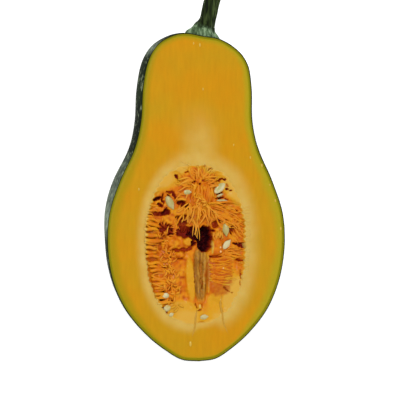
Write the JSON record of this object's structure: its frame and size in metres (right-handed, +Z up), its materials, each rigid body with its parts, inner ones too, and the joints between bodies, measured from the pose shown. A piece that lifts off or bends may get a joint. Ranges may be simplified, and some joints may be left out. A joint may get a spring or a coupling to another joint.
{
  "type": "halved mini pumpkin",
  "caption": "Half of a small bottle-shaped pumpkin cut lengthwise, lying cut face up: green rind, orange flesh, stringy seeded pulp and a bent stem.",
  "frame": {"origin": "on the small flat spot under the belly that the half rests on", "axes": "+Z up, out of the cut face; +Y along the fruit towards the stem; +X to the right, seen from above with the stem at the top"},
  "size_m": [0.1167, 0.2435, 0.0662],
  "materials": {
    "rind": "waxy dark green skin with faint pale mottling, half gloss",
    "flesh": "moist raw pumpkin flesh, golden orange, yellow-green against the rind and cream round the cavity",
    "pulp": "wet stringy pulp, deep orange, dark in its hollows, with cream seeds",
    "stem": "ridged fibrous stem, dull dark green"
  },
  "bodies": {
    "root": {"rind": "rind", "flesh": "flesh", "pulp": "pulp", "stem": "stem"}
  },
  "joints": []
}
